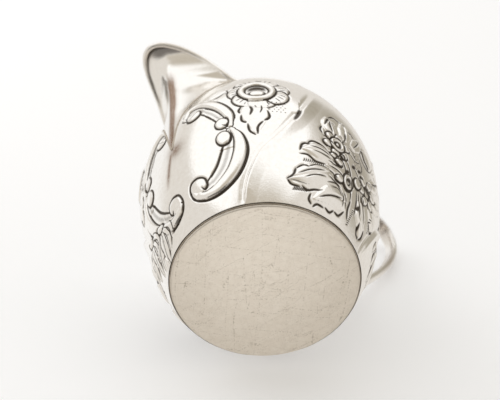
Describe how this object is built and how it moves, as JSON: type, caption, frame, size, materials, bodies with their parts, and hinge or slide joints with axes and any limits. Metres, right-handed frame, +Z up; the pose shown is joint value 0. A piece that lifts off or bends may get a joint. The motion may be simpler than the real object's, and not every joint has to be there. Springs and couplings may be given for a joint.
{
  "type": "cream jug",
  "caption": "Small bulbous silver cream jug with a flat base, chased scroll and flower panels, a let-in V spout with a wired edge, and a high loop handle.",
  "frame": {"origin": "centre of the base plate's flat underside, on the body's axis", "axes": "+Z up along the body's axis, spout towards -X, handle towards +X, the jug is symmetric about the XZ plane"},
  "size_m": [0.1165, 0.0748, 0.089],
  "materials": {
    "silver_polished": "polished, chased, dark in the recesses",
    "silver_satin": "satin, finely scratched",
    "solder": "dull, tarnished"
  },
  "bodies": {
    "root": {"body": "silver_polished", "base_plate": "silver_satin", "spout": "silver_polished", "rim_wire": "silver_polished", "handle": "silver_polished", "base_solder": "solder", "spout_solder": "solder", "handle_lower_solder": "solder", "handle_upper_solder": "solder"}
  },
  "joints": []
}
